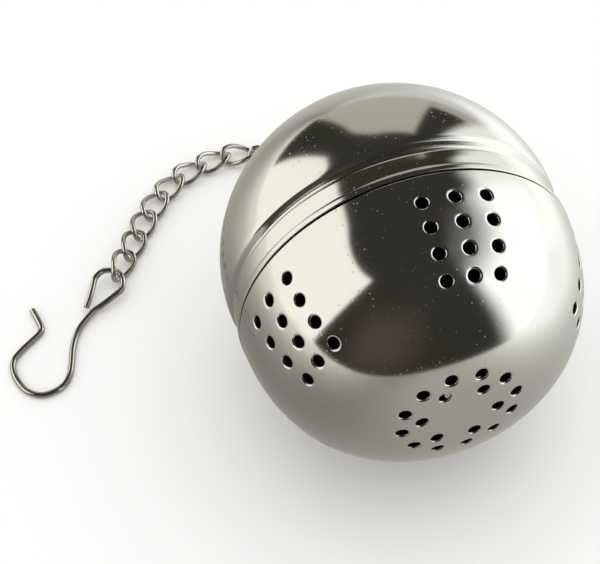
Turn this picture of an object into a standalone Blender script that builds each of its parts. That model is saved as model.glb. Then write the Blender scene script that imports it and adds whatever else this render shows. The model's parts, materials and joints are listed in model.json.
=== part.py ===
"""A tea infuser: a stainless steel ball in two halves, with a chain and a hook.

The ball lies on its side. +Y runs along its axis, from the bowl's flat base at the origin to the
cap's crown, and +Z is up. The bowl is perforated and has a neck that the cap pushes over. A split
wire eye passes through the cap's crown and carries a curb chain, which drops behind the ball and
runs round its left side to the hook.
"""

import math

import bmesh
import bpy
from mathutils import Matrix, Vector

# Clearances and sheet
GAP = 0.0003
WALL = 0.00045
FACETS = 32

# Bowl, with depths measured from its rim towards its base
BOWL_RADIUS = 0.0250
BOWL_DEPTH = 0.0220
BASE_RADIUS = 0.0066
WIDEST_ABOVE_RIM = 0.0030
SQUARENESS = 2.4
RIM_ROUNDING = 0.0003
NECK_HEIGHT = 0.0070
NECK_STEP_HEIGHT = 0.0033

# Cap, with heights measured from the bowl's rim towards the crown
CAP_HEIGHT = 0.0313
DOME_RADIUS = 0.0250
LIP_HEIGHT = 0.0012
LIP_STEP = 0.0003
BAND_HEIGHT = 0.0030
BAND_CROWN = 0.00015
GROOVE_WIDTH = 0.0016
GROOVE_DEPTH = 0.0007
GROOVE_FLOOR = (0.35, 0.75)
DOME_START_ABOVE_GROOVE = 0.0012

# Holes
HOLE_RADIUS = 0.00092
SIDE_GROUPS = 5
SIDE_GROUP_PHASE = 8.5
SIDE_COLUMNS = 3
SIDE_ROWS = 4
COLUMN_ANGLE = 10.9
FIRST_ROW_BELOW_RIM = 0.0041
ROW_PITCH = 0.00372
BASE_HOLES = 12
BASE_HOLE_CIRCLE = 0.0083
BASE_INNER_CIRCLE = 0.0055
BASE_PHASE = 11.5
PUNCH_SIDES = 8
PUNCH_LENGTH = 0.0036

# Cap eye
EYE_WIRE = 0.0010
EYE_LOOP_RADIUS = 0.0022
EYE_LEG_SPREAD = 0.0032
EYE_BEND = 0.0006

# Chain
LINK_WIRE = 0.0008
LINK_LENGTH = 0.0065
LINK_WIDTH = 0.0043
LINK_TWIST = -42.0
LINKS = 16

# Hook
HOOK_WIRE = 0.00095

# How finely curves are divided
WALL_STEPS = 10
WALL_FINE_STEPS = 400
DOME_STEPS = 10
EYE_STEPS = 14
LINK_END_STEPS = 5
CHAIN_ROUTE_STEPS = 60
HOOK_ROUTE_STEPS = 2
HALVINGS = 30

BALL_LENGTH = BOWL_DEPTH + CAP_HEIGHT
BAND_RADIUS = DOME_RADIUS - LIP_STEP
GROOVE_TOP = LIP_HEIGHT + BAND_HEIGHT + GROOVE_WIDTH
CROWN_HOLE_RADIUS = EYE_WIRE + GAP / 2 + GAP
NECK_RADIUS = BAND_RADIUS - WALL - GAP - BAND_CROWN
NECK_TIP_RADIUS = BAND_RADIUS - GROOVE_DEPTH - WALL - GAP - BAND_CROWN
EYE_CENTRE = BALL_LENGTH + GAP + EYE_WIRE / 2 + EYE_LOOP_RADIUS
LINK_CENTRELINE = LINK_LENGTH - LINK_WIRE
LINK_PITCH = LINK_CENTRELINE - LINK_WIRE - GAP

# The chain's route in metres, from the eye to the hook, chosen by hand. It hangs from the eye,
# reaches the table behind the ball and curves round to the hook. The second value is measured
# from the middle of the eye's loop.
CHAIN_ROUTE = (
    (0.0, -0.0003, -0.00155),
    (0.0, -0.0001, -0.0080),
    (-0.0003, 0.0006, -0.0150),
    (-0.0013, 0.0029, -0.0210),
    (-0.0034, 0.0087, -0.0234),
    (-0.0066, 0.0155, -0.0236),
    (-0.0110, 0.0183, -0.0236),
    (-0.0160, 0.0176, -0.0236),
    (-0.0205, 0.0165, -0.0236),
    (-0.0241, 0.0142, -0.0236),
    (-0.0274, 0.0109, -0.0235),
    (-0.0302, 0.0073, -0.0234),
    (-0.0328, 0.0034, -0.0231),
    (-0.0351, 0.0002, -0.0229),
    (-0.0373, -0.0024, -0.0227),
)
# How far the last links are rolled about the chain, so that the final one stands on edge.
LAST_ROLLS = (-10.0, -22.0, -35.0, -48.0)

# The hook's wire in metres, seen from above and measured from the chain's end: the eye's free end,
# round the eye, down the shank and round the bend to the kinked tip. The third value is the
# height above the chain's end.
HOOK_ROUTE = (
    (-0.0057, -0.0042, -0.0009),
    (-0.0049, -0.0030, -0.0006),
    (-0.0040, -0.0013, -0.0003),
    (-0.0031, 0.0004, -0.0001),
    (-0.0015, 0.0013, 0.0),
    (0.0004, 0.0005, 0.0),
    (0.0009, -0.0012, -0.0001),
    (0.0003, -0.0028, -0.0004),
    (-0.0014, -0.0037, -0.0007),
    (-0.0031, -0.0044, -0.0010),
    (-0.0046, -0.0050, -0.0012),
    (-0.0060, -0.0060, -0.0014),
    (-0.0075, -0.0074, -0.0015),
    (-0.0086, -0.0090, -0.0016),
    (-0.0095, -0.0110, -0.00165),
    (-0.0102, -0.0134, -0.00165),
    (-0.0109, -0.0154, -0.00165),
    (-0.0120, -0.0170, -0.00165),
    (-0.0137, -0.0179, -0.00165),
    (-0.0160, -0.0180, -0.00165),
    (-0.0179, -0.0166, -0.00165),
    (-0.0189, -0.0143, -0.00165),
    (-0.0191, -0.0120, -0.00165),
    (-0.0185, -0.0103, -0.00165),
    (-0.0170, -0.0089, -0.00165),
    (-0.0153, -0.0077, -0.00165),
    (-0.0139, -0.0067, -0.00165),
    (-0.0133, -0.0058, -0.00165),
    (-0.0134, -0.0044, -0.00165),
    (-0.0139, -0.0018, -0.00165),
)


def clear_scene():
    """Remove whatever the startup scene holds."""
    for obj in list(bpy.data.objects):
        bpy.data.objects.remove(obj, do_unlink=True)


def new_collection(name):
    """A collection linked into the scene."""
    made = bpy.data.collections.new(name)
    bpy.context.scene.collection.children.link(made)
    return made


def steel(name, colour, roughness):
    """A metallic Principled material."""
    made = bpy.data.materials.new(name)
    made.use_nodes = True
    shader = made.node_tree.nodes["Principled BSDF"]
    shader.inputs["Base Color"].default_value = (*colour, 1.0)
    shader.inputs["Metallic"].default_value = 1.0
    shader.inputs["Roughness"].default_value = roughness
    return made


def empty_on_axis(collection, name, matrix):
    """An empty that carries the pieces turned about one axis."""
    made = bpy.data.objects.new(name, None)
    made.empty_display_size = 0.01
    made.matrix_world = matrix
    collection.objects.link(made)
    return made


def add_object(collection, name, data, material, parent=None):
    """An object with its material, placed under its parent."""
    made = bpy.data.objects.new(name, data)
    if not data.materials:
        data.materials.append(material)
    made.parent = parent
    collection.objects.link(made)
    return made


def bowl_half_height():
    """The superellipse's half height, so that it meets the flat base at the bowl's depth."""
    flat = (BASE_RADIUS / BOWL_RADIUS) ** SQUARENESS
    return (BOWL_DEPTH + WIDEST_ABOVE_RIM) / (1 - flat) ** (1 / SQUARENESS)


def bowl_wall(steps):
    """(radius, depth below the rim) down the bowl's curved wall, from the rim to the flat base."""
    half = bowl_half_height()
    first = math.acos((WIDEST_ABOVE_RIM / half) ** (SQUARENESS / 2))
    last = math.asin((BASE_RADIUS / BOWL_RADIUS) ** (SQUARENESS / 2))
    points = []
    for i in range(steps + 1):
        angle = first + (last - first) * i / steps
        radius = BOWL_RADIUS * math.sin(angle) ** (2 / SQUARENESS)
        depth = half * math.cos(angle) ** (2 / SQUARENESS) - WIDEST_ABOVE_RIM
        points.append((radius, depth))
    return points


def wall_place(length):
    """(radius, depth, outward slope) where the bowl's wall is this long, measured from the rim."""
    wall = bowl_wall(WALL_FINE_STEPS)
    walked = 0.0
    for (r0, d0), (r1, d1) in zip(wall, wall[1:]):
        step = math.hypot(r1 - r0, d1 - d0)
        if walked + step >= length:
            share = (length - walked) / step
            slope = math.atan2(r0 - r1, d1 - d0)
            return r0 + (r1 - r0) * share, d0 + (d1 - d0) * share, slope
        walked += step
    raise ValueError("the bowl's wall is shorter than this")


def bowl_profile():
    """(radius, height above the base) from the neck's tip, over the shoulder, to the base's centre."""
    wall = bowl_wall(WALL_STEPS)
    rim_radius = wall[0][0]
    points = [
        (NECK_TIP_RADIUS, NECK_HEIGHT),
        (NECK_TIP_RADIUS, NECK_STEP_HEIGHT + NECK_RADIUS - NECK_TIP_RADIUS),
        (NECK_RADIUS, NECK_STEP_HEIGHT),
        (NECK_RADIUS, 0.0),
        (rim_radius - RIM_ROUNDING, 0.0),
        (rim_radius, -RIM_ROUNDING),
    ]
    points += [(radius, -depth) for radius, depth in wall[1:]]
    points.append((0.0, -BOWL_DEPTH))
    return [(radius, BOWL_DEPTH + height) for radius, height in points]


def cap_profile():
    """(radius, height above the rim) from the crown's hole down the dome, groove, band and lip."""
    equator = GROOVE_TOP + DOME_START_ABOVE_GROOVE
    rise = CAP_HEIGHT - equator
    first = math.asin(CROWN_HOLE_RADIUS / DOME_RADIUS)
    points = []
    for i in range(DOME_STEPS + 1):
        angle = first + (math.pi / 2 - first) * i / DOME_STEPS
        points.append((DOME_RADIUS * math.sin(angle), equator + rise * math.cos(angle)))
    groove_radius = BAND_RADIUS - GROOVE_DEPTH
    groove_base = LIP_HEIGHT + BAND_HEIGHT
    floor_start, floor_end = GROOVE_FLOOR
    points += [
        (DOME_RADIUS - BAND_CROWN, GROOVE_TOP),
        (groove_radius, groove_base + GROOVE_WIDTH * floor_end),
        (groove_radius, groove_base + GROOVE_WIDTH * floor_start),
        (BAND_RADIUS, groove_base),
        (BAND_RADIUS + BAND_CROWN, LIP_HEIGHT + BAND_HEIGHT / 2),
        (BAND_RADIUS, LIP_HEIGHT + LIP_STEP),
        (DOME_RADIUS, LIP_HEIGHT),
        (DOME_RADIUS, GAP),
    ]
    return points


def turned_shell(collection, name, profile, material, parent):
    """A thin shell of revolution about local Z, with its profile as the outer side."""
    mesh = bpy.data.meshes.new(name)
    points = [(radius, 0.0, height) for radius, height in profile]
    edges = [(i, i + 1) for i in range(len(points) - 1)]
    mesh.from_pydata(points, edges, [])
    made = add_object(collection, name, mesh, material, parent)
    screw = made.modifiers.new("turn", "SCREW")
    screw.axis = "Z"
    screw.steps = FACETS
    screw.render_steps = FACETS
    screw.use_merge_vertices = True
    screw.merge_threshold = 0.00001
    screw.use_smooth_shade = True
    sheet = made.modifiers.new("sheet", "SOLIDIFY")
    sheet.thickness = WALL
    sheet.offset = -1.0
    sheet.use_even_offset = True
    # half a facet round, so that the ball rests on a facet
    made.rotation_euler = (0.0, 0.0, math.pi / FACETS)
    return made


def hole_matrices():
    """Where each hole pierces the bowl, with local Z along the hole, in the ball's frame."""
    places = []
    middle = (SIDE_COLUMNS - 1) / 2
    for row in range(SIDE_ROWS):
        radius, depth, slope = wall_place(FIRST_ROW_BELOW_RIM + row * ROW_PITCH)
        for group in range(SIDE_GROUPS):
            for column in range(SIDE_COLUMNS):
                group_turn = SIDE_GROUP_PHASE + 360 / SIDE_GROUPS * group
                turn = group_turn + COLUMN_ANGLE * (column - middle)
                places.append((radius, BOWL_DEPTH - depth, slope, turn))
    flat_slope = math.pi / 2
    for n in range(BASE_HOLES):
        places.append((BASE_HOLE_CIRCLE, 0.0, flat_slope, BASE_PHASE + 360 / BASE_HOLES * n))
    for n in range(BASE_HOLES // 2):
        turn = BASE_PHASE + 360 / BASE_HOLES * (2 * n - 0.5)
        places.append((BASE_INNER_CIRCLE, 0.0, flat_slope, turn))
    matrices = []
    for radius, height, slope, turn in places:
        # angles are counted from +X towards +Z, which is backwards about the ball's own axis
        around = Matrix.Rotation(-math.radians(turn), 4, "Z")
        lean = Matrix.Rotation(math.pi / 2 + slope, 4, "Y")
        matrices.append(around @ Matrix.Translation((radius, 0.0, height)) @ lean)
    return matrices


def hole_cutter(collection, parent):
    """All the punches as one mesh of short round bars."""
    mesh = bpy.data.meshes.new("hole_punches")
    bars = bmesh.new()
    for matrix in hole_matrices():
        bmesh.ops.create_cone(
            bars,
            cap_ends=True,
            segments=PUNCH_SIDES,
            radius1=HOLE_RADIUS,
            radius2=HOLE_RADIUS,
            depth=PUNCH_LENGTH,
            matrix=matrix,
        )
    bars.to_mesh(mesh)
    bars.free()
    made = bpy.data.objects.new("hole_punches", mesh)
    made.parent = parent
    made.hide_render = True
    made.display_type = "WIRE"
    collection.objects.link(made)
    return made


def make_bowl(parts, cutters, axis, material):
    """The perforated lower half, with its neck."""
    bowl = turned_shell(parts, "bowl", bowl_profile(), material, axis)
    punch = bowl.modifiers.new("holes", "BOOLEAN")
    punch.operation = "DIFFERENCE"
    punch.solver = "EXACT"
    punch.object = hole_cutter(cutters, axis)


def make_cap(parts, axis, material):
    """The plain upper half, on the rim's plane."""
    cap = turned_shell(parts, "cap", cap_profile(), material, axis)
    cap.location = (0.0, 0.0, BOWL_DEPTH)


def wire(name, points, diameter, cyclic):
    """Round wire along straight steps between the points."""
    curve = bpy.data.curves.new(name, "CURVE")
    curve.dimensions = "3D"
    curve.bevel_depth = diameter / 2
    curve.bevel_resolution = 2
    curve.use_fill_caps = not cyclic
    spline = curve.splines.new("POLY")
    spline.points.add(len(points) - 1)
    for target, point in zip(spline.points, points):
        target.co = (*point, 1.0)
    spline.use_cyclic_u = cyclic
    spline.use_smooth = True
    return curve


def make_cap_eye(parts, axis, material):
    """A split wire eye: a loop outside the crown, and two legs splayed against its inside."""
    leg = EYE_WIRE / 2 + GAP / 2
    inside = -WALL - GAP - EYE_WIRE / 2
    centre = EYE_CENTRE - BALL_LENGTH
    start = math.asin(leg / EYE_LOOP_RADIUS)
    half = [
        (-EYE_LEG_SPREAD, inside - EYE_BEND),
        (-leg - 2 * EYE_BEND, inside - EYE_BEND / 2),
        (-leg - EYE_BEND / 3, inside),
        (-leg, EYE_BEND / 2),
    ]
    loop = []
    for i in range(EYE_STEPS + 1):
        angle = start + (2 * math.pi - 2 * start) * i / EYE_STEPS
        across = -EYE_LOOP_RADIUS * math.sin(angle)
        loop.append((across, centre - EYE_LOOP_RADIUS * math.cos(angle)))
    outline = half + loop + [(-x, z) for x, z in reversed(half)]
    points = [(0.0, x, z) for x, z in outline]
    eye = add_object(parts, "cap_eye", wire("cap_eye", points, EYE_WIRE, False), material, axis)
    eye.location = (0.0, 0.0, BALL_LENGTH)


def smooth_route(points, steps):
    """A Catmull-Rom curve through the points, with this many steps in each span."""
    ends = [2 * points[0] - points[1], *points, 2 * points[-1] - points[-2]]
    route = []
    for a, b, c, d in zip(ends, ends[1:], ends[2:], ends[3:]):
        for i in range(steps):
            t = i / steps
            linear = (c - a) * t
            square = (2 * a - 5 * b + 4 * c - d) * t**2
            cubic = (3 * b - a - 3 * c + d) * t**3
            route.append((2 * b + linear + square + cubic) / 2)
    route.append(points[-1])
    return route


def equal_chords(route, chord, count):
    """Points along the route, each one chord from the last in a straight line."""
    places = [route[0]]
    for a, b in zip(route, route[1:]):
        while len(places) <= count and (b - places[-1]).length >= chord:
            low = 0.0
            high = 1.0
            for _ in range(HALVINGS):
                middle = (low + high) / 2
                if (a.lerp(b, middle) - places[-1]).length < chord:
                    low = middle
                else:
                    high = middle
            places.append(a.lerp(b, high))
    return places


def chain_frames():
    """A matrix for each link, at its joint with the piece before, and the matrix of the hook's joint.

    Local X runs along the chain and local Z is the link's flat side. From the hook's end back to
    the eye, each flat side is the next one's carried along the bend, and the last links roll.
    """
    points = [Vector((x, EYE_CENTRE + y, z)) for x, y, z in CHAIN_ROUTE]
    route = smooth_route(points, CHAIN_ROUTE_STEPS)
    joints = equal_chords(route, LINK_PITCH, LINKS)
    along = [(b - a).normalized() for a, b in zip(joints, joints[1:])]
    flat = Vector((0.0, 0.0, 1.0))
    frames = []
    for i in range(LINKS - 1, -1, -1):
        flat = (flat - along[i] * flat.dot(along[i])).normalized()
        from_end = LINKS - 1 - i
        roll = LAST_ROLLS[-1 - from_end] if from_end < len(LAST_ROLLS) else 0.0
        side = Matrix.Rotation(math.radians(roll), 3, along[i]) @ flat
        across = side.cross(along[i])
        turn = Matrix((along[i], across, side)).transposed()
        frames.insert(0, Matrix.Translation(joints[i]) @ turn.to_4x4())
    return frames, Matrix.Translation(joints[LINKS])


def link_points():
    """The centreline of a curb link: a stretched ring, twisted evenly from end to end."""
    end_radius = (LINK_WIDTH - LINK_WIRE) / 2
    half = LINK_CENTRELINE / 2
    straight = half - end_radius
    points = []
    for side in (1, -1):
        for i in range(LINK_END_STEPS + 1):
            angle = math.pi * i / LINK_END_STEPS - math.pi / 2
            along = straight + end_radius * math.cos(angle)
            points.append((side * along, side * end_radius * math.sin(angle)))
    twisted = []
    for x, y in points:
        twist = math.radians(LINK_TWIST) * x / half
        twisted.append(Vector((x + LINK_PITCH / 2, y * math.cos(twist), y * math.sin(twist))))
    return twisted


def make_chain(parts, material):
    """Every link is its own piece, with its origin where it hangs from the one before."""
    shape = wire("chain_link", link_points(), LINK_WIRE, True)
    frames, end = chain_frames()
    for i, frame in enumerate(frames):
        link = add_object(parts, f"chain_link_{i + 1:02d}", shape, material)
        link.matrix_world = frame
    return end


def make_hook(parts, end, material):
    """The bent wire hook, with its origin at the chain's end."""
    route = smooth_route([Vector(point) for point in HOOK_ROUTE], HOOK_ROUTE_STEPS)
    hook = add_object(parts, "hook", wire("hook", route, HOOK_WIRE, False), material)
    hook.matrix_world = end


def main():
    clear_scene()
    parts = new_collection("tea_infuser")
    cutters = new_collection("cutters")
    polished = steel("polished_steel", (0.62, 0.61, 0.58), 0.06)
    drawn = steel("drawn_steel_wire", (0.56, 0.55, 0.51), 0.22)
    axis = empty_on_axis(parts, "ball_axis", Matrix.Rotation(-math.pi / 2, 4, "X"))
    make_bowl(parts, cutters, axis, polished)
    make_cap(parts, axis, polished)
    make_cap_eye(parts, axis, drawn)
    end = make_chain(parts, drawn)
    make_hook(parts, end, drawn)


main()
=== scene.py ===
"""How a stainless steel tea infuser looks: a mirror-polished ball in two halves, a chain and a hook.

The ball lies on its side, with its axis along +Y. Each surface is worked out as whole arrays, from
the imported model's boxes and joints and the sizes named below. Lengths are in metres, and the sizes
that are named as turns are in degrees.
"""

import json
import math

import bpy
import numpy as np
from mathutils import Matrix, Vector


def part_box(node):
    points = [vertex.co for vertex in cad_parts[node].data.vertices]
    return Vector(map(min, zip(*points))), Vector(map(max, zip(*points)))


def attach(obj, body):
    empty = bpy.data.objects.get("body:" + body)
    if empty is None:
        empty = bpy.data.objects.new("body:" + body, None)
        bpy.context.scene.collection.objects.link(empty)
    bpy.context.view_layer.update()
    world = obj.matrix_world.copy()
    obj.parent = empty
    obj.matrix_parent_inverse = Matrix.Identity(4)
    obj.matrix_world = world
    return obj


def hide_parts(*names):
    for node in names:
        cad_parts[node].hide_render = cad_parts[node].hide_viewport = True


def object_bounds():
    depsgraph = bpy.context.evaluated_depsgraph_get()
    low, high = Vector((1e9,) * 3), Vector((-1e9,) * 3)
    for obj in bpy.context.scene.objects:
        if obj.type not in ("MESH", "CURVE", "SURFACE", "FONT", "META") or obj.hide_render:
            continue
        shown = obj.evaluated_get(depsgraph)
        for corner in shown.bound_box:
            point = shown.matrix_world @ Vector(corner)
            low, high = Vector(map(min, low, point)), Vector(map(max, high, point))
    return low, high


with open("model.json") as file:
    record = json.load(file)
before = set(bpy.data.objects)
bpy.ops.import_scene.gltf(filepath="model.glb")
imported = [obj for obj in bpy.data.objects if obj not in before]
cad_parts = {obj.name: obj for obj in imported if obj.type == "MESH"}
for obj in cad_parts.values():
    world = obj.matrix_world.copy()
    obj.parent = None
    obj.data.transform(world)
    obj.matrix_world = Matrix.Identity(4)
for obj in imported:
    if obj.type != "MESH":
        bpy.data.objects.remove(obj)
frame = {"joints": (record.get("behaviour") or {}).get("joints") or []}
cad_box = [list(corner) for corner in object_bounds()]

MM = 0.001

# The ball's overall sizes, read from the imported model
CAP_LOW, CAP_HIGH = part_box("cap")
NECK_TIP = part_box("bowl")[1].y
EYE_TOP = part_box("cap_eye")[1].y
RADIUS = CAP_HIGH.x
SEAM_GAP = 0.30 * MM
SEAM = CAP_LOW.y - SEAM_GAP
SHEET = 0.45 * MM

# Bowl
BASE_RADIUS = 6.6 * MM
WIDEST_ABOVE_SEAM = 3.0 * MM
SQUARENESS = 2.4
BASE_BLEND = 0.12 * MM
NECK_RADIUS = RADIUS - 1.20 * MM
NECK_TIP_RADIUS = RADIUS - 1.90 * MM
NECK_STEP = 3.3 * MM
# The painted shade in the corner of the seam under the cap's lip: half its height about the gap, and
# how far out from the neck it reaches
SEAM_SHADE_HALF = 0.25 * MM
SEAM_SHADE_REACH = 1.0 * MM

# The rows of the bowl's grid: the walls' first ones below the seam's rounded corner, the last one
# round the base's middle, and the part of the wall where the columns pass from the side holes'
# places to the base holes' places
OUTER_WALL_TOP = 0.35 * MM
SECOND_ROW = 0.5 * MM
INNER_WALL_TOP = 0.8 * MM
BASE_MIDDLE = 0.35 * MM
SHIFT_START = 17.5 * MM
SHIFT_LENGTH = 8.5 * MM

# Cap
CAP_LIP = 1.2 * MM
CAP_BAND = 3.0 * MM
CAP_GROOVE = 1.6 * MM
CAP_GROOVE_DEPTH = 0.7 * MM
CAP_LIP_STEP = 0.3 * MM
CAP_EQUATOR = 7.0 * MM
CAP_PAST_EQUATOR = 0.028
CROWN_HOLE = 1.45 * MM
CAP_TURNS = 256

# Holes, with the rolled edge outside and the punch's burr inside
HOLE_RADIUS = 0.87 * MM
ROLL_WIDTH = 0.36 * MM
ROLL_DEPTH = 0.24 * MM
ROLL_STEPS = 6
BURR = 0.05 * MM
BURR_FOOT = 0.14 * MM
SIDE_GROUPS = 5
SIDE_PHASE = 8.5
SIDE_COLUMN = 10.9
SIDE_ROWS = 4
SIDE_FIRST = 4.1 * MM
SIDE_PITCH = 3.72 * MM
BASE_HOLES = 12
BASE_PHASE = 11.5
BASE_CIRCLE = 8.3 * MM
INNER_CIRCLE = 5.5 * MM

# The block of the grid that each hole takes up: half its height down the wall, half its width in
# degrees, and its cells
SIDE_BLOCK_HALF = 1.45 * MM
SIDE_BLOCK_TURN = 4.1
BASE_BLOCK_HALF = 1.36 * MM
BASE_BLOCK_TURN = 10.5
INNER_BLOCK_TURN = 16.5
BLOCK_CELLS = 8
BASE_BLOCK_CELLS = 14

# Wire
EYE_WIRE = 1.0 * MM
EYE_LOOP = 2.2 * MM
EYE_SPREAD = 3.2 * MM
EYE_BEND = 0.6 * MM
LINK_WIRE = 0.8 * MM
LINK_LENGTH = 6.5 * MM
LINK_WIDTH = 4.3 * MM
LINK_TWIST = -42.0
LINK_SQUARENESS = 2.35
LINKS = 16
HOOK_WIRE = 0.94 * MM
WIRE_SIDES = 20
LINK_SIDES = 16
LINK_STEPS = 72
END_RINGS = 4
END_DOME = 0.45
END_TURN = 80.0

# The steel's finish: how closely each mark is spaced, in cells to a metre, and how deep it is
PATCHES = 55.0
RUBBED_LINES = 700.0
RUBBED_STRETCH = 14.0
RIPPLES = 210.0
PITS = 1150.0
PIT_CLUSTERS = 190.0
PIT_DEPTH = 0.003 * MM
# The dark colour of the painted shade on the shells' inner faces, the holes' walls and the seam's
# corner
PAINTED_SHADE = (0.115, 0.10, 0.08, 1.0)

# The stage: the floor, the edge of the table that reflections see, and the camera, which looks down
# and is turned to the right of +Y
FLOOR_HEIGHT = cad_box[0][2]
FLOOR_REACH = 3.0
TABLE_EDGE = -0.110
CAMERA_PLACE = (-0.0620, -0.1294, 0.2132)
CAMERA_DOWN = 52.35
CAMERA_RIGHT = 16.9
CAMERA_LENS = 113.3

# The hook's wire in millimetres from the chain's end: the eye's free end, round the eye, down the
# shank and round the bend to the kinked tip.
HOOK_ROUTE = (
    (-5.7, -4.2, -0.9), (-4.9, -3.0, -0.6), (-4.0, -1.3, -0.3), (-3.1, 0.4, -0.1), (-1.5, 1.3, 0.0),
    (0.4, 0.5, 0.0), (0.9, -1.2, -0.1), (0.3, -2.8, -0.4), (-1.4, -3.7, -0.7), (-3.1, -4.4, -1.0),
    (-4.6, -5.0, -1.2), (-6.0, -6.0, -1.4), (-7.5, -7.4, -1.5), (-8.6, -9.0, -1.6),
    (-9.5, -11.0, -1.65), (-10.2, -13.4, -1.65), (-10.9, -15.4, -1.65), (-12.0, -17.0, -1.65),
    (-13.7, -17.9, -1.65), (-16.0, -18.0, -1.65), (-17.9, -16.6, -1.65), (-18.9, -14.3, -1.65),
    (-19.1, -12.0, -1.65), (-18.5, -10.3, -1.65), (-17.0, -8.9, -1.65), (-15.3, -7.7, -1.65),
    (-13.9, -6.7, -1.65), (-13.3, -5.8, -1.65), (-13.4, -4.4, -1.65), (-13.9, -1.8, -1.65),
)


# ---------------------------------------------------------------- arithmetic on shader sockets


class Signal:
    """A socket that takes part in sums: each operator adds the Math node that works it out."""

    def __init__(self, nodes, socket):
        self.nodes = nodes
        self.socket = socket

    def maths(self, operation, first, second=0.0):
        """A Math node's result, from this operation on two values or sockets."""
        return self.nodes.add("ShaderNodeMath", {"operation": operation}, {0: first, 1: second})

    def __add__(self, other):
        return self.maths("ADD", self, other)

    def __radd__(self, other):
        return self.maths("ADD", other, self)

    def __sub__(self, other):
        return self.maths("SUBTRACT", self, other)

    def __rsub__(self, other):
        return self.maths("SUBTRACT", other, self)

    def __mul__(self, other):
        return self.maths("MULTIPLY", self, other)

    def __rmul__(self, other):
        return self.maths("MULTIPLY", other, self)


class Nodes:
    """A node tree that is filled by one method for any node."""

    def __init__(self, tree):
        self.tree = tree
        tree.nodes.clear()

    def add(self, kind, settings=None, inputs=None, output=0):
        """A node of this type: its settings first, then the values or links of its sockets."""
        node = self.tree.nodes.new(kind)
        for name, value in (settings or {}).items():
            setattr(node, name, value)
        for name, value in (inputs or {}).items():
            if isinstance(value, Signal):
                self.tree.links.new(value.socket, node.inputs[name])
            else:
                node.inputs[name].default_value = value
        return Signal(self, node.outputs[output]) if len(node.outputs) else node

    def ease(self, value, start, end, low=0.0, high=1.0):
        """Goes from low to high, with soft shoulders, as the value goes from start to end."""
        settings = {"interpolation_type": "SMOOTHSTEP"}
        inputs = {"Value": value, "From Min": start, "From Max": end, "To Min": low, "To Max": high}
        return self.add("ShaderNodeMapRange", settings, inputs)

    def blend(self, share, first, second):
        """The first colour, going to the second as share goes to 1."""
        inputs = {0: share, 6: first, 7: second}
        return self.add("ShaderNodeMix", {"data_type": "RGBA"}, inputs, output=2)

    def noise(self, place, scale, detail=2.0, roughness=0.5):
        """Noise with this many cells to a metre."""
        inputs = {"Vector": place, "Scale": scale, "Detail": detail, "Roughness": roughness}
        return self.add("ShaderNodeTexNoise", None, inputs)


# ---------------------------------------------------------------- materials


def object_place(nodes, scale=(1.0, 1.0, 1.0)):
    """Object coordinates, stretched for a pattern that runs one way."""
    place = nodes.add("ShaderNodeTexCoord", output=3)
    return nodes.add("ShaderNodeMapping", None, {"Vector": place, "Scale": scale})


def steel(name, colour, film_colour, roughness, ripple_depth, rubbed_depth, pit_share):
    """Bright steel: faint ripples, fine rubbed lines round the axis, clusters of pits, and a patchy
    film. A shell's inner face, the holes' walls and the corner of the seam are dull and painted
    dark as painted shade."""
    made = bpy.data.materials.new(name)
    made.use_nodes = True
    nodes = Nodes(made.node_tree)
    place = object_place(nodes)
    film = nodes.ease(nodes.noise(place, PATCHES, 3.0), 0.35, 0.75)
    rubbed = nodes.noise(object_place(nodes, (1.0, RUBBED_STRETCH, 1.0)), RUBBED_LINES, 3.0, 0.6)
    ripples = nodes.noise(place, RIPPLES, 2.0)
    dots = nodes.add("ShaderNodeTexVoronoi", None, {"Vector": place, "Scale": PITS})
    clusters = nodes.noise(place, PIT_CLUSTERS, 3.0)
    pits = nodes.ease(dots, 0.05, 0.22, 1.0, 0.0)
    pits = pits * nodes.ease(clusters, 0.62 - pit_share, 0.70 - pit_share)
    height = ripples * ripple_depth + rubbed * rubbed_depth - pits * PIT_DEPTH
    bump = nodes.add("ShaderNodeBump", None, {"Strength": 1.0, "Distance": 1.0, "Height": height})
    # The attribute inside is 1 where the steel is painted dark and dull as shade: the shells' inner
    # faces, the holes' walls and the seam's corner
    inside = nodes.add("ShaderNodeAttribute", {"attribute_name": "inside"}, output=2)
    polished = nodes.blend(film, (*colour, 1.0), (*film_colour, 1.0))
    shader = nodes.add(
        "ShaderNodeBsdfPrincipled",
        None,
        {
            "Base Color": nodes.blend(inside, polished, PAINTED_SHADE),
            "Metallic": 1.0,
            "Roughness": roughness + film * 0.03 + pits * 0.30 + inside * 0.3,
            "Normal": bump,
        },
    )
    nodes.add("ShaderNodeOutputMaterial", None, {"Surface": shader})
    return made


def matte(name, colour):
    """A plain pale stage surface."""
    made = bpy.data.materials.new(name)
    made.use_nodes = True
    nodes = Nodes(made.node_tree)
    inputs = {"Base Color": (*colour, 1.0), "Roughness": 0.9}
    shader = nodes.add("ShaderNodeBsdfPrincipled", None, inputs)
    nodes.add("ShaderNodeOutputMaterial", None, {"Surface": shader})
    return made


# ---------------------------------------------------------------- surfaces


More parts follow.
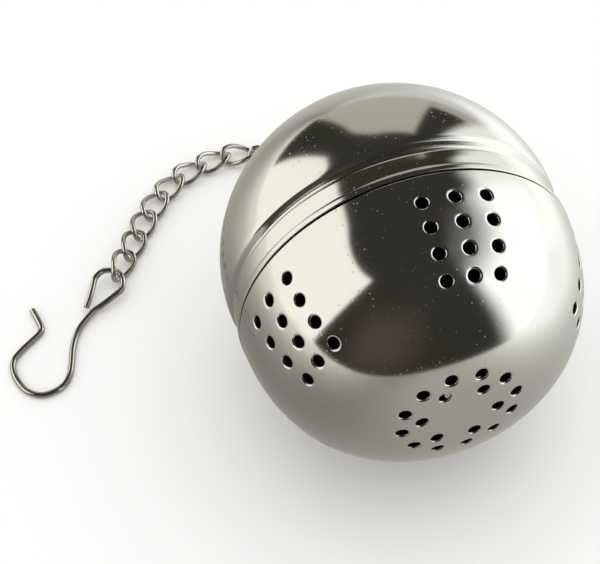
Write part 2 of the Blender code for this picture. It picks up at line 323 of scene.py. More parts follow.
def piece(name, points, faces, material, body, node, inside=None):
    """A smooth closed mesh, with its faces turned outwards, that stands for a CAD node on a body.
    Its attribute inside is 1 where the steel is painted dark as shade: on the face of a shell that
    looks into the ball, and on the holes' walls and the seam's corner."""
    triangles = np.concatenate([faces[:, [0, 1, 2]], faces[:, [0, 2, 3]]])
    a, b, c = (points[triangles[:, i]] for i in range(3))
    collapsed = faces[:, 3] == faces[:, 2]
    if np.einsum("ij,ij->i", a, np.cross(b, c)).sum() < 0:
        faces = faces[:, [2, 1, 0, 3]]
    quads = faces[~collapsed].tolist()
    ends = faces[collapsed][:, :3].tolist()
    mesh = bpy.data.meshes.new(name)
    mesh.from_pydata(points.tolist(), [], quads + ends)
    shade = mesh.attributes.new("inside", "FLOAT", "POINT")
    shade.data.foreach_set("value", np.zeros(len(points)) if inside is None else inside)
    mesh.shade_smooth()
    mesh.materials.append(material)
    made = bpy.data.objects.new(name, mesh)
    bpy.context.scene.collection.objects.link(made)
    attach(made, body)
    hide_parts(node)


def grid_faces(rows, columns, around_rows=False):
    """Quads of a grid whose columns join up, and whose rows may too: each cell's four corners."""
    i, j = np.mgrid[0 : rows if around_rows else rows - 1, 0:columns]
    below = (i + 1) % rows
    beside = (j + 1) % columns
    corners = [i * columns + j, i * columns + beside, below * columns + beside, below * columns + j]
    return np.stack(corners, axis=-1)


def soft_outline(corners, steps=5):
    """A line through corners (radius, height, rounding): each corner is a parabola that touches both
    sides at its rounding's distance, or at 0.38 of its shorter side if that is nearer, with one more
    point just outside each end to keep the sides flat."""
    places = np.array([corner[:2] for corner in corners])
    reach = np.array([corner[2] for corner in corners])[1:-1, None]
    before = places[:-2] - places[1:-1]
    after = places[2:] - places[1:-1]
    before_length = np.linalg.norm(before, axis=1, keepdims=True)
    after_length = np.linalg.norm(after, axis=1, keepdims=True)
    reach = np.minimum(reach, 0.38 * np.minimum(before_length, after_length))
    start = places[1:-1] + before / before_length * reach
    end = places[1:-1] + after / after_length * reach
    outer_start = start + (start - places[1:-1]) * 0.3
    outer_end = end + (end - places[1:-1]) * 0.3
    t = np.linspace(0, 1, steps)[None, :, None]
    pull = 2 * t * (1 - t)
    curve = (1 - t) ** 2 * start[:, None] + pull * places[1:-1, None] + t**2 * end[:, None]
    line = np.concatenate([outer_start[:, None], curve, outer_end[:, None]], axis=1).reshape(-1, 2)
    return np.concatenate([places[:1], line, places[-1:]])


def turned(profile, angle):
    """A profile of (radius, height) carried round the axis: x = r cos a, y = height, z = r sin a."""
    radius = profile[:, :1]
    height = np.broadcast_to(profile[:, 1:], (len(profile), len(angle)))
    return np.stack([radius * np.cos(angle), height, radius * np.sin(angle)], axis=-1)


def smooth_route(points, steps):
    """A Catmull-Rom curve: in each span, the cubic through its two points whose slopes at them are
    half the step between their neighbours."""
    points = np.array(points, float)
    ends = np.concatenate([[2 * points[0] - points[1]], points, [2 * points[-1] - points[-2]]])
    a, b, c, d = (ends[i : len(ends) - 3 + i, None] for i in range(4))
    t = np.linspace(0, 1, steps, endpoint=False)[None, :, None]
    squared = (2 * a - 5 * b + 4 * c - d) * t**2
    cubed = (3 * b - a - 3 * c + d) * t**3
    curve = (2 * b + (c - a) * t + squared + cubed) / 2
    return np.concatenate([curve.reshape(-1, 3), points[-1:]])


def swept(route, side, radius, sides, closed):
    """A round section carried along a route. Each ring lies square to the route, counted from the
    part of side that is square to it. At an open end, more rings follow a low dome, whose radius
    falls as the cosine of a turn while its height grows as the sine."""
    if closed:
        along = np.roll(route, -1, axis=0) - np.roll(route, 1, axis=0)
        radii = np.full(len(route), radius)
    else:
        along = np.gradient(route, axis=0)
        turn = np.linspace(0, math.radians(END_TURN), END_RINGS + 1)[1:]
        dome = radius * END_DOME * np.sin(turn)
        closing = radius * np.cos(turn)
        first = along[0] / np.linalg.norm(along[0])
        last = along[-1] / np.linalg.norm(along[-1])
        radii = np.concatenate([closing[::-1], np.full(len(route), radius), closing])
        start = route[0] - first * dome[::-1, None]
        end = route[-1] + last * dome[:, None]
        route = np.concatenate([start, route, end])
        ends = [np.tile(way, (END_RINGS, 1)) for way in (first, last)]
        along = np.concatenate([ends[0], along, ends[1]])
    along = along / np.linalg.norm(along, axis=1, keepdims=True)
    side = side - along * (side * along).sum(axis=1, keepdims=True)
    side = side / np.linalg.norm(side, axis=1, keepdims=True)
    other = np.cross(along, side)
    angle = np.linspace(0, 2 * math.pi, sides, endpoint=False)[None, :, None]
    offset = np.cos(angle) * side[:, None] + np.sin(angle) * other[:, None]
    points = (route[:, None] + radii[:, None, None] * offset).reshape(-1, 3)
    return points, grid_faces(len(route), sides, around_rows=closed).reshape(-1, 4)


# ---------------------------------------------------------------- the bowl


def bowl_meridian():
    """(length, radius, depth) down the bowl's wall, from the seam to the middle of the base: a
    superellipse about the ball's axis, eased into the flat base."""
    flat = (BASE_RADIUS / RADIUS) ** SQUARENESS
    half = (SEAM + WIDEST_ABOVE_SEAM) / (1 - flat) ** (1 / SQUARENESS)
    start = math.acos((WIDEST_ABOVE_SEAM / half) ** (SQUARENESS / 2))
    angle = np.linspace(start, 0, 4001)
    radius = RADIUS * np.sin(angle) ** (2 / SQUARENESS)
    curved = half * np.cos(angle) ** (2 / SQUARENESS) - WIDEST_ABOVE_SEAM
    over = curved - SEAM
    depth = SEAM + (over - np.sqrt(over**2 + BASE_BLEND**2)) / 2
    step = np.hypot(np.diff(radius), np.diff(depth))
    return np.concatenate([[0], np.cumsum(step)]), radius, depth


MERIDIAN = bowl_meridian()
MERIDIAN_SLOPE = [np.gradient(values, MERIDIAN[0]) for values in MERIDIAN[1:]]


def wall_point(length, turn, inset):
    """The point this far down the wall and round the axis, set in from the outer face by inset."""
    length, turn = np.broadcast_arrays(length, turn)
    radius = np.interp(length, MERIDIAN[0], MERIDIAN[1])
    depth = np.interp(length, MERIDIAN[0], MERIDIAN[2])
    radius_slope = np.interp(length, MERIDIAN[0], MERIDIAN_SLOPE[0])
    depth_slope = np.interp(length, MERIDIAN[0], MERIDIAN_SLOPE[1])
    size = np.hypot(radius_slope, depth_slope)
    radius = radius - inset * depth_slope / size
    depth = depth + inset * radius_slope / size
    return np.stack([radius * np.cos(turn), SEAM - depth, radius * np.sin(turn)], axis=-1)


def length_at_radius(radius):
    """How far down the wall its radius has shrunk to this."""
    return float(np.interp(-radius, -MERIDIAN[1], MERIDIAN[0]))


def hole_places():
    """(length down the wall, turn, half height, half turn) of each hole and its block, with both
    turns in radians: the rows of each side group, then the base's ring, then its inner ring."""
    places = []
    for row in range(SIDE_ROWS):
        length = SIDE_FIRST + SIDE_PITCH * row
        for group in range(SIDE_GROUPS):
            for column in (-1, 0, 1):
                turn = SIDE_PHASE + 360 / SIDE_GROUPS * group + SIDE_COLUMN * column
                places.append((length, turn, SIDE_BLOCK_HALF, SIDE_BLOCK_TURN))
    step = 360 / BASE_HOLES
    length = length_at_radius(BASE_CIRCLE)
    for n in range(BASE_HOLES):
        places.append((length, BASE_PHASE + step * n, BASE_BLOCK_HALF, BASE_BLOCK_TURN))
    length = length_at_radius(INNER_CIRCLE)
    for n in range(BASE_HOLES // 2):
        turn = BASE_PHASE + step * (2 * n - 0.5)
        places.append((length, turn, BASE_BLOCK_HALF, INNER_BLOCK_TURN))
    return [(place[0], math.radians(place[1]), place[2], math.radians(place[3])) for place in places]


def divided(start, spans):
    """Places from start on, through spans of (end, cells) that are each divided evenly."""
    places = [start]
    for end, count in spans:
        places += np.linspace(places[-1], end, count + 1)[1:].tolist()
    return np.array(places)


def side_turns():
    """Column angles for the side holes: 8 cells across each hole's block, 2 from one block to the
    next and 32 from one group to the next, which makes 300 columns."""
    block = 2 * SIDE_BLOCK_TURN
    sector = 360 / SIDE_GROUPS
    spans = []
    for column in range(3):
        spans.append((SIDE_COLUMN * column + block, BLOCK_CELLS))
        spans.append((SIDE_COLUMN * (column + 1), 2))
    spans[-1] = (sector, 32)
    group = SIDE_PHASE - SIDE_COLUMN - SIDE_BLOCK_TURN + divided(0.0, spans)[:-1]
    return np.concatenate([group + sector * n for n in range(SIDE_GROUPS)])


def base_turns():
    """Column angles for the base's holes: 14 cells across each outer hole's block and 11 from one
    to the next, which makes 300 columns too, counted on from the side's first column."""
    sector = 360 / BASE_HOLES
    spans = ((BASE_BLOCK_TURN, BASE_BLOCK_CELLS), (sector - BASE_BLOCK_TURN, 11))
    hole = BASE_PHASE + divided(-BASE_BLOCK_TURN, spans)[:-1]
    turns = np.concatenate([hole + sector * n for n in range(BASE_HOLES)])
    start = side_turns()[0]
    return np.sort((turns - start) % 360.0 + start)


def wall_lengths():
    """Row lengths down the wall: 8 cells over each row of holes, and evenly spaced between rows."""
    spans = [(SECOND_ROW, 1)]
    for row in range(SIDE_ROWS):
        middle = SIDE_FIRST + SIDE_PITCH * row
        spans.append((middle - SIDE_BLOCK_HALF, 5 if row == 0 else 2))
        spans.append((middle + SIDE_BLOCK_HALF, BLOCK_CELLS))
    for circle, count in ((BASE_CIRCLE, 22), (INNER_CIRCLE, 1)):
        middle = length_at_radius(circle)
        spans.append((middle - BASE_BLOCK_HALF, count))
        spans.append((middle + BASE_BLOCK_HALF, BLOCK_CELLS))
    spans.append((MERIDIAN[0][-1] - BASE_MIDDLE, 10))
    return divided(OUTER_WALL_TOP, spans)


def bowl_neck():
    """(radius, height) from the outer wall's top over the rim and shoulder, up the neck, round its
    tip and down its inside to the inner wall's top."""
    rim = wall_point(0.0, 0.0, 0.0)[0]
    tip_low = SEAM + NECK_STEP + 0.7 * MM
    corners = [
        (*wall_point(OUTER_WALL_TOP, 0.0, 0.0)[:2], 0.0),
        (rim, SEAM, 0.2 * MM),
        (NECK_RADIUS, SEAM, 0.12 * MM),
        (NECK_RADIUS, SEAM + NECK_STEP, 0.3 * MM),
        (NECK_TIP_RADIUS, tip_low, 0.3 * MM),
        (NECK_TIP_RADIUS, NECK_TIP, 0.2 * MM),
        (NECK_TIP_RADIUS - SHEET, NECK_TIP, 0.2 * MM),
        (NECK_TIP_RADIUS - SHEET, tip_low - 0.15 * MM, 0.3 * MM),
        (NECK_RADIUS - SHEET, SEAM + NECK_STEP - 0.15 * MM, 0.3 * MM),
        (NECK_RADIUS - SHEET, SEAM - SHEET, 0.3 * MM),
        (*wall_point(INNER_WALL_TOP, 0.0, SHEET)[:2], 0.0),
    ]
    return soft_outline(corners, 4)[1:-1]


def neck_painted_shade(neck):
    """1 at the points of the neck's outline that are dull and painted dark as shade: those down its
    inside, which are the last four ninths as its corners have equal shares, and those in the corner
    at the cap's lip, where the seam's painted shade lies."""
    down_inside = np.arange(len(neck)) >= len(neck) * 5 // 9
    seam_shade = abs(neck[:, 1] - SEAM - SEAM_GAP / 2) < SEAM_SHADE_HALF
    return down_inside | (seam_shade & (neck[:, 0] < NECK_RADIUS + SEAM_SHADE_REACH))


def block_columns(turns, turn, half):
    """The columns from one side of a hole's block to the other, where turns are the columns' angles.
    They are counted on past the last column when the block lies across it."""
    away = (turns[None, :] - turn - np.array([[-half], [half]]) + math.pi) % (2 * math.pi)
    start, end = np.argmin(abs(away - math.pi), axis=1)
    return np.arange(start, end + 1 + (len(turns) if end < start else 0))


def block_loop(rows, columns):
    """The row, the column and the bearing of each grid point round a hole's block, from the corner
    at the first row and column. Each side takes up a quarter of a turn, evenly divided."""
    sides = [len(columns) - 1, len(rows) - 1, len(columns) - 1, len(rows) - 1]
    first_row = np.full(sides[0], rows[0])
    last_row = np.full(sides[2], rows[-1])
    first_column = np.full(sides[3], columns[0])
    last_column = np.full(sides[1], columns[-1])
    loop_row = np.concatenate([first_row, rows[:-1], last_row, rows[:0:-1]])
    loop_column = np.concatenate([columns[:-1], last_column, columns[:0:-1], first_column])
    quarters = np.concatenate([n + np.arange(size) / size for n, size in enumerate(sides)])
    return loop_row, loop_column, math.radians(135) - math.pi / 2 * quarters


def bowl_surface():
    """The whole bowl as one closed surface: a grid over the outer wall, the neck and the inner wall,
    where each hole's block of cells is left out and filled by rings that run through the hole. The
    base's two middles are closed to a point each."""
    side = np.radians(side_turns())
    lengths = wall_lengths()
    columns = len(side)
    share = np.clip((lengths - SHIFT_START) / SHIFT_LENGTH, 0, 1)
    share = (share * share * (3 - 2 * share))[:, None]
    turns = side * (1 - share) + np.radians(base_turns()) * share
    neck = bowl_neck()
    inner_rows = lengths > INNER_WALL_TOP
    outer = wall_point(lengths[:, None], turns, 0.0)[::-1]
    inner = wall_point(lengths[inner_rows][:, None], turns[inner_rows], SHEET)
    grid = np.concatenate([outer, turned(neck, side), inner])
    last_outer = len(outer) - 1
    first_inner = len(outer) + len(neck) - int(np.argmax(inner_rows))
    keep = np.ones((len(grid) - 1, columns), bool)
    count = len(grid) * columns
    points = [grid.reshape(-1, 3)]
    # Painted shade: the inner wall, the neck's inside and the seam's corner are marked to be painted
    # dark
    shades = np.concatenate([np.zeros(len(outer)), neck_painted_shade(neck), np.ones(len(inner))])
    inside = [shades.repeat(columns)]
    faces = []
    for length, turn, high, wide in hole_places():
        low, top = (int(np.argmin(abs(lengths - edge))) for edge in (length + high, length - high))
        across = block_columns(turns[low], turn, wide)
        up = np.arange(low, top - 1, -1)
        keep[last_outer - up[:-1, None], across[None, :-1] % columns] = False
        keep[first_inner + up[1:, None], across[None, :-1] % columns] = False
        row, column, angle = block_loop(up, across)
        column = column % columns
        rings = hole_rings(length, turn, angle, lengths[row], turns[row, column])
        ids = np.arange(rings.shape[0] * rings.shape[1]).reshape(rings.shape[:2]) + count
        outer_loop = (last_outer - row) * columns + column
        inner_loop = (first_inner + row) * columns + column
        ids = np.concatenate([outer_loop[None], ids, inner_loop[None]])
        ahead = np.roll(ids, -1, axis=1)
        faces.append(np.stack([ids[:-1], ahead[:-1], ahead[1:], ids[1:]], axis=-1).reshape(-1, 4))
        points.append(rings.reshape(-1, 3))
        # The holes' walls past the rolled edge go over two rings into the painted shade of the
        # inside
        painted_wall_shade = np.clip(np.arange(len(rings)) - ROLL_STEPS + 1, 0, 2) / 2
        inside.append(painted_wall_shade.repeat(rings.shape[1]))
        count += rings.shape[0] * rings.shape[1]
    faces.append(grid_faces(len(grid), columns)[keep])
    middles = np.array([[0.0, grid[0, 0, 1], 0.0], [0.0, grid[-1, 0, 1], 0.0]])
    edge = np.arange(columns)
    ahead = (edge + 1) % columns
    last = (len(grid) - 1) * columns
    middle = np.full(columns, count)
    faces.append(np.stack([ahead, edge, middle, middle], axis=-1))
    faces.append(np.stack([last + edge, last + ahead, middle + 1, middle + 1], axis=-1))
    points.append(middles)
    inside.append([0.0, 1.0])
    return np.concatenate(points), np.concatenate(faces), np.concatenate(inside)


def hole_rings(length, turn, angle, edge_lengths, edge_turns):
    """Rings through one hole: from its block's edge to the start of the rolled edge, round a quarter
    ellipse into the hole, straight through the sheet, over the burr's softened edge and out to the
    inner block's edge. Each ring is a circle on the wall's tangent, laid back on the wall, and the
    first two and the last lie part of the way to the block's edge."""
    roll = np.linspace(0, math.pi / 2, ROLL_STEPS)
    width = HOLE_RADIUS + ROLL_WIDTH * (1 - np.sin(roll))
    inset = ROLL_DEPTH * (1 - np.cos(roll))
    burr_width = np.array([HOLE_RADIUS, HOLE_RADIUS + BURR, HOLE_RADIUS + BURR_FOOT])
    burr_inset = np.array([SHEET - BURR, SHEET, SHEET])
    width = np.concatenate([width, burr_width])[:, None, None]
    inset = np.concatenate([inset, burr_inset])[:, None]
    centre = wall_point(length, turn, 0.0)
    step = 0.01 * MM
    ahead, behind = (wall_point(length + way, turn, 0.0) for way in (step, -step))
    down = (ahead - behind) / (2 * step)
    round_axis = np.array([-math.sin(turn), 0.0, math.cos(turn)])
    bearing = angle[:, None]
    flat = centre + width * (np.cos(bearing) * round_axis + np.sin(bearing) * down)
    reach = np.hypot(flat[..., 0], flat[..., 2])
    here = math.hypot(centre[0], centre[2])
    slope = down[0] * math.cos(turn) + down[2] * math.sin(turn)
    lengths = length + (reach - here) * slope + (flat[..., 1] - centre[1]) * down[1]
    away = np.arctan2(flat[..., 2], flat[..., 0]) - turn
    away = (away + math.pi) % (2 * math.pi) - math.pi
    edge_away = (edge_turns - turn + math.pi) % (2 * math.pi) - math.pi
    shares = np.array([0.4, 0.75])[:, None]
    outer_lengths = edge_lengths + (lengths[0] - edge_lengths) * shares
    outer_away = edge_away + (away[0] - edge_away) * shares
    inner_lengths = lengths[-1] + (edge_lengths - lengths[-1]) * 0.5
    inner_away = away[-1] + (edge_away - away[-1]) * 0.5
    lengths = np.concatenate([outer_lengths, lengths, inner_lengths[None]])
    away = np.concatenate([outer_away, away, inner_away[None]])
    inset = np.concatenate([np.zeros((2, 1)), inset, [[SHEET]]])
    return wall_point(lengths, turn + away, inset)


def make_bowl(material):
    points, faces, inside = bowl_surface()
    piece("perforated_bowl", points, faces, material, "bowl", "bowl", inside)


# ---------------------------------------------------------------- the cap


def cap_outline():
    """(radius, height) round the cap's sheet: down the outer dome to the groove, band and lip, and
    back up inside to the crown's hole. The dome is an ellipse whose equator is above the groove, and
    its outer face goes on a little past it."""
    equator = SEAM + CAP_EQUATOR
    crown = CAP_HIGH.y - equator
    first = math.asin(CROWN_HOLE / RADIUS)
    angle = np.linspace(first, math.pi / 2 + CAP_PAST_EQUATOR, 64)
    dome = np.stack([RADIUS * np.sin(angle), equator + crown * np.cos(angle)], axis=1)
    band = RADIUS - CAP_LIP_STEP
    band_low = SEAM + CAP_LIP
    base = band_low + CAP_BAND
    top = base + CAP_GROOVE
    floor = band - CAP_GROOVE_DEPTH
    floor_low = base + CAP_GROOVE * 0.34
    floor_high = base + CAP_GROOVE * 0.62
    lip_low = CAP_LOW.y
    corners = [
        (*dome[-1], 0.0),
        (RADIUS - 0.12 * MM, top - 0.05 * MM, 0.30 * MM),
        (floor, floor_high, 0.30 * MM),
        (floor, floor_low, 0.20 * MM),
        (band, base - 0.05 * MM, 0.26 * MM),
        (band + 0.04 * MM, band_low + CAP_BAND * 0.5, 0.6 * MM),
        (band, band_low + 0.22 * MM, 0.22 * MM),
        (RADIUS, band_low - 0.08 * MM, 0.22 * MM),
        (RADIUS, lip_low, 0.20 * MM),
        (RADIUS - SHEET, lip_low, 0.15 * MM),
        (band - SHEET, band_low + 0.2 * MM, 0.3 * MM),
        (band - SHEET, base - 0.1 * MM, 0.3 * MM),
        (floor - SHEET, floor_low, 0.2 * MM),
        (floor - SHEET, floor_high, 0.2 * MM),
        (RADIUS - SHEET - 0.12 * MM, top + 0.1 * MM, 0.3 * MM),
    ]
    angle = np.linspace(math.pi / 2, first, 48)
    inner_radius = (RADIUS - SHEET) * np.sin(angle)
    inner = np.stack([inner_radius, equator + (crown - SHEET) * np.cos(angle)], axis=1)
    low = soft_outline([*corners, (*inner[0], 0.0)], 5)[1:-1]
    return np.concatenate([dome, low, inner])


def make_cap(material):
    """The cap's outline carried round the axis. It is dull and painted dark as shade from its first
    lowest point on, which is where it turns inwards."""
    outline = cap_outline()
    points = turned(outline, np.linspace(0, 2 * math.pi, CAP_TURNS, endpoint=False))
    faces = grid_faces(len(outline), CAP_TURNS, around_rows=True).reshape(-1, 4)
    inside = (np.arange(len(outline)) > np.argmin(outline[:, 1])).repeat(CAP_TURNS)
    points = points.reshape(-1, 3)
    piece("pressed_cap", points, faces, material, "cap", "cap", inside)


# ---------------------------------------------------------------- wires


def eye_route():
    """The split eye's wire in the plane across x = 0: in along one splayed leg, out through the
    crown, round the loop, which is an arc, and back the same way mirrored."""
    leg = EYE_WIRE / 2 + SEAM_GAP / 2
    centre = EYE_TOP - EYE_WIRE / 2 - EYE_LOOP
    crown = centre - EYE_LOOP - EYE_WIRE / 2 - SEAM_GAP
    inside = crown - SHEET - SEAM_GAP - EYE_WIRE / 2
    start = math.asin(leg / EYE_LOOP)
    angle = np.linspace(start, 2 * math.pi - start, 15)
    half = np.array(
        [
            (-EYE_SPREAD, inside - EYE_BEND),
            (-leg - 2 * EYE_BEND, inside - EYE_BEND / 2),
            (-leg - EYE_BEND / 3, inside),
            (-leg, crown + EYE_BEND / 2),
        ]
    )
    loop = np.stack([-EYE_LOOP * np.sin(angle), centre - EYE_LOOP * np.cos(angle)], axis=1)
    outline = np.concatenate([half, loop, half[::-1] * (-1, 1)])
    return np.stack([np.zeros(len(outline)), outline[:, 1], outline[:, 0]], axis=1)


def link_route(turns):
    """A link's centreline in its own frame: a superellipse, along x by cos and across it by sin of
    an angle, each to the power 2 / squareness, whose plane turns evenly from end to end."""
    half = (LINK_LENGTH - LINK_WIRE) / 2
    wide = (LINK_WIDTH - LINK_WIRE) / 2
    angle = np.linspace(0, 2 * math.pi, turns, endpoint=False)
    power = 2 / LINK_SQUARENESS
    x = half * np.sign(np.cos(angle)) * abs(np.cos(angle)) ** power
    y = wide * np.sign(np.sin(angle)) * abs(np.sin(angle)) ** power
    twist = math.radians(LINK_TWIST) * x / half
    return np.stack([x, y * np.cos(twist), y * np.sin(twist)], axis=1)


def link_frames():
    """(centre, along, across, flat) of each link. It runs from its own joint towards the next, and
    its joint's axis is across it in the odd links and along its flat side's normal in the even."""
    joints = {joint["name"]: joint for joint in frame["joints"]}
    names = [f"link_{n:02d}_swing" for n in range(1, LINKS + 1)]
    places = np.array([joints[name]["pos_m"] for name in [*names, "hook_swing"]])
    axes = np.array([joints[name]["axis"] for name in names])
    along = np.diff(places, axis=0)
    pitch = np.linalg.norm(along, axis=1, keepdims=True)
    along = along / pitch
    odd = (np.arange(LINKS) % 2 == 0)[:, None]
    across = np.where(odd, axes, np.cross(axes, along))
    return places[:-1] + along * pitch / 2, along, across, np.cross(along, across)


def make_chain(material):
    """Each link's route in its own frame, placed by its joints. Its section is counted from a
    direction that points out of the link, more sideways than from its middle."""
    route = link_route(LINK_STEPS)
    out = route * (0.65, 1.0, 1.0)
    for n, (centre, along, across, flat) in enumerate(zip(*link_frames()), 1):
        turn = np.stack([along, across, flat])
        points, faces = swept(centre + route @ turn, out @ turn, LINK_WIRE / 2, LINK_SIDES, True)
        node = f"chain_link_{n:02d}"
        piece(f"curb_link_{n:02d}", points, faces, material, f"link_{n:02d}", node)


def make_hook(material):
    """The hook's wire along its own route, from the chain's last joint, kept inside its box."""
    end = next(joint["pos_m"] for joint in frame["joints"] if joint["name"] == "hook_swing")
    route = np.array(end) + smooth_route(HOOK_ROUTE, 8) * MM
    points, faces = wire(route, (0.0, 0.0, 1.0), HOOK_WIRE / 2)
    points = np.clip(points, *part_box("hook"))
    piece("wire_hook", points, faces, material, "hook", "hook")


def make_eye(material):
    """The split eye's wire, whose section is counted from straight out of its plane."""
    points, faces = wire(smooth_route(eye_route(), 6), (1.0, 0.0, 0.0), EYE_WIRE / 2)
    piece("split_eye", points, faces, material, "eye", "cap_eye")


def wire(route, side, radius):
    """A round wire with closed ends: each end's last, small ring is joined to its middle point."""
    points, faces = swept(route, np.array(side), radius, WIRE_SIDES, False)
    first = np.arange(WIRE_SIDES)
    last = first + len(points) - WIRE_SIDES
    middle = [points[first].mean(axis=0), points[last].mean(axis=0)]
    start = np.full(WIRE_SIDES, len(points))
    end = start + 1
    closing = [
        np.stack([np.roll(first, -1), first, start, start], axis=-1),
        np.stack([last, np.roll(last, -1), end, end], axis=-1),
    ]
    return np.concatenate([points, middle]), np.concatenate([faces, *closing])


# ---------------------------------------------------------------- the studio


def panel(nodes, turn, rise, colour, under, sides, heights, soft):
    """A card in the studio over what is under it, between two bearings and two heights, with this
    much softness at its left, right, low and high edge, all in degrees."""
    share = nodes.ease(turn - sides[0], -soft[0], soft[0])
    share = share * nodes.ease(turn - sides[1], -soft[1], soft[1], 1.0, 0.0)
    share = share * nodes.ease(rise - heights[0], -soft[2], soft[2])
    share = share * nodes.ease(rise - heights[1], -soft[3], soft[3], 1.0, 0.0)
    return nodes.blend(share, under, (*colour, 1.0))


def make_studio():
    """Soft cards all round a dim room, which only reflections see: a broad bright one at the left,
    a grey one behind and a bright one with a soft top at the right, with dark gaps between them.
    Everything else sees a plain pale background. Bearings count from +Y towards +X."""
    world = bpy.data.worlds.new("studio")
    world.use_nodes = True
    bpy.context.scene.world = world
    nodes = Nodes(world.node_tree)
    direction = nodes.add("ShaderNodeTexCoord", output=0)
    x, y, z = (nodes.add("ShaderNodeSeparateXYZ", None, {0: direction}, i) for i in range(3))
    turn = x.maths("ARCTAN2", x, y) * math.degrees(1.0)
    rise = z.maths("ARCSINE", z) * math.degrees(1.0)
    foot = -60.0
    left_drop = turn.maths("MAXIMUM", turn + 62.0, 0.0)
    left_top = 51.0 - left_drop * left_drop * 0.012
    left_side = -119.0 + (48.0 - rise) * 0.26
    back_drop = turn.maths("MAXIMUM", 8.0 - turn, 0.0)
    back_top = 42.0 - back_drop * back_drop * 0.05
    light = (0.039, 0.037, 0.029, 1.0)
    # Each card's colour, bearings, heights, and softness at the left, right, low and high edge
    for colour, sides, heights, soft in (
        ((0.10, 0.080, 0.058), (-170.0, -132.0), (-10.0, 30.0), (16.0, 12.0, 12.0, 18.0)),
        ((0.22, 0.215, 0.20), (78.0, 135.0), (foot, 66.0), (25.0, 18.0, 5.0, 8.0)),
        ((1.42, 1.40, 1.30), (left_side, -28.0), (foot, left_top), (1.6, 1.4, 5.0, 1.6)),
        ((0.62, 0.60, 0.52), (-5.0, 30.5), (foot, back_top), (1.3, 1.3, 5.0, 2.0)),
        ((0.56, 0.54, 0.47), (30.5, 46.0), (foot, 8.0), (1.3, 2.0, 5.0, 2.0)),
        ((1.26, 1.27, 1.22), (46.0, 66.0), (foot, 35.0), (3.0, 2.0, 5.0, 8.0)),
        ((1.70, 1.74, 1.72), (60.0, 141.0), (foot, 43.0), (6.0, 8.0, 5.0, 16.0)),
    ):
        light = panel(nodes, turn, rise, colour, light, sides, heights, soft)
    studio = nodes.add("ShaderNodeBackground", None, {"Color": light, "Strength": 1.0})
    pale = (1.0, 0.995, 0.985, 1.0)
    plain = nodes.add("ShaderNodeBackground", None, {"Color": pale, "Strength": 1.0})
    mirrored = nodes.add("ShaderNodeLightPath", output=3)
    mixed = nodes.add("ShaderNodeMixShader", None, {0: mirrored, 1: plain, 2: studio})
    nodes.add("ShaderNodeOutputWorld", None, {"Surface": mixed})


def flat_sheet(name, material, near, far):
    """A level rectangle at the floor's height, between two distances along Y."""
    corners = [(-FLOOR_REACH, near), (FLOOR_REACH, near), (FLOOR_REACH, far), (-FLOOR_REACH, far)]
    mesh = bpy.data.meshes.new(name)
    mesh.from_pydata([(x, y, FLOOR_HEIGHT) for x, y in corners], [], [(0, 1, 2, 3)])
    mesh.materials.append(material)
    made = bpy.data.objects.new(name, mesh)
    bpy.context.scene.collection.objects.link(made)
    return made


def card_glow():
    """The table as the steel mirrors it, painted as a glowing card: warm grey, dim at the ball's
    left where its shadow is painted, bright to the right, and dim again behind the ball. Its glow is
    a sum of soft steps along X and Y in metres."""
    made = bpy.data.materials.new("painted_table_light")
    made.use_nodes = True
    nodes = Nodes(made.node_tree)
    place = nodes.add("ShaderNodeTexCoord", output=3)
    x, y = (nodes.add("ShaderNodeSeparateXYZ", None, {0: place}, i) for i in range(2))
    glow = 0.27 + nodes.ease(x, -0.020, -0.200, 0.0, 0.60) + nodes.ease(x, -0.045, 0.010, 0.0, 0.20)
    behind = nodes.ease(y - x * 0.85, 0.020, 0.150, 1.0, 0.30)
    glow = glow + nodes.ease(x, 0.010, 0.130, 0.0, 0.95) * behind
    glow = glow + nodes.ease(y, 0.035, 0.095, 0.0, 0.16) - nodes.ease(y, 0.110, 0.400, 0.0, 0.10)
    glow = glow + nodes.ease(y, 0.000, -0.060, 0.0, 0.08) + nodes.ease(x, -0.160, -0.600, 0.0, 0.45)
    warm = (1.02, 1.0, 0.89, 1.0)
    neutral = (0.98, 1.0, 0.975, 1.0)
    colour = nodes.blend(nodes.ease(x, -0.010, 0.110), warm, neutral)
    shader = nodes.add("ShaderNodeEmission", None, {"Color": colour, "Strength": glow})
    nodes.add("ShaderNodeOutputMaterial", None, {"Surface": shader})
    return made


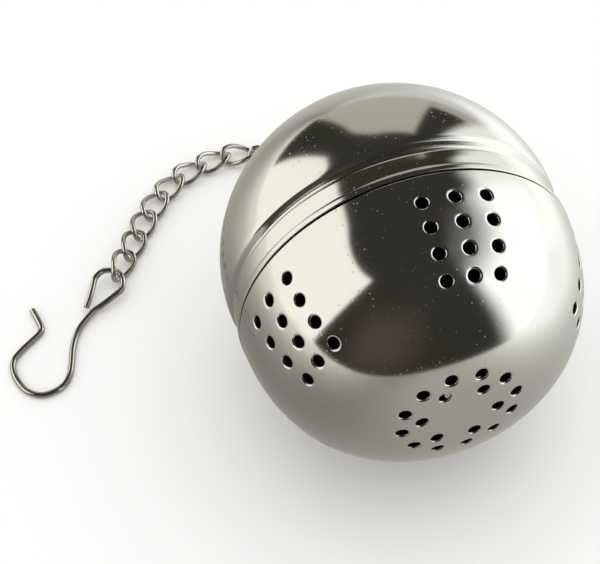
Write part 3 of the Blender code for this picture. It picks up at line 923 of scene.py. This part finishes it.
def make_floor():
    """A pale floor that only the camera and soft light see, and a glowing card as far as the table's
    front edge that only reflections see, which paints the table's light and shade in them."""
    pale = matte("pale_floor", (0.96, 0.96, 0.955))
    floor = flat_sheet("floor", pale, -FLOOR_REACH, FLOOR_REACH)
    floor.visible_glossy = False
    table = flat_sheet("mirrored_table", card_glow(), TABLE_EDGE, FLOOR_REACH)
    table.visible_camera = False
    table.visible_diffuse = False
    table.visible_shadow = False


def make_light():
    """A broad soft light overhead, which the polished ball doesn't mirror."""
    data = bpy.data.lights.new("overhead", "AREA")
    data.shape = "RECTANGLE"
    data.size = 1.2
    data.size_y = 0.9
    data.energy = 1.6
    made = bpy.data.objects.new("overhead", data)
    made.location = (0.1, 0.25, 1.0)
    made.rotation_euler = (math.radians(-14.0), math.radians(6.0), 0.0)
    made.visible_glossy = False
    made.visible_camera = False
    bpy.context.scene.collection.objects.link(made)


def make_camera():
    """A long lens from the front left, above the ball, that looks down on it."""
    data = bpy.data.cameras.new("camera")
    data.lens = CAMERA_LENS
    data.sensor_width = 36.0
    data.clip_start = 0.01
    made = bpy.data.objects.new("camera", data)
    made.location = CAMERA_PLACE
    made.rotation_euler = (math.radians(90.0 - CAMERA_DOWN), 0.0, math.radians(-CAMERA_RIGHT))
    bpy.context.scene.collection.objects.link(made)
    bpy.context.scene.camera = made


def main():
    bpy.context.scene.view_settings.view_transform = "Standard"
    make_camera()
    make_studio()
    make_floor()
    make_light()
    polished = steel(
        "polished_steel_sheet",
        colour=(0.63, 0.62, 0.585),
        film_colour=(0.60, 0.59, 0.55),
        roughness=0.105,
        ripple_depth=0.0018 * MM,
        rubbed_depth=0.0003 * MM,
        pit_share=0.18,
    )
    drawn = steel(
        "drawn_steel_wire",
        colour=(0.66, 0.64, 0.59),
        film_colour=(0.52, 0.50, 0.44),
        roughness=0.16,
        ripple_depth=0.0040 * MM,
        rubbed_depth=0.0008 * MM,
        pit_share=0.10,
    )
    make_bowl(polished)
    make_cap(polished)
    make_eye(drawn)
    make_chain(drawn)
    make_hook(drawn)


main()
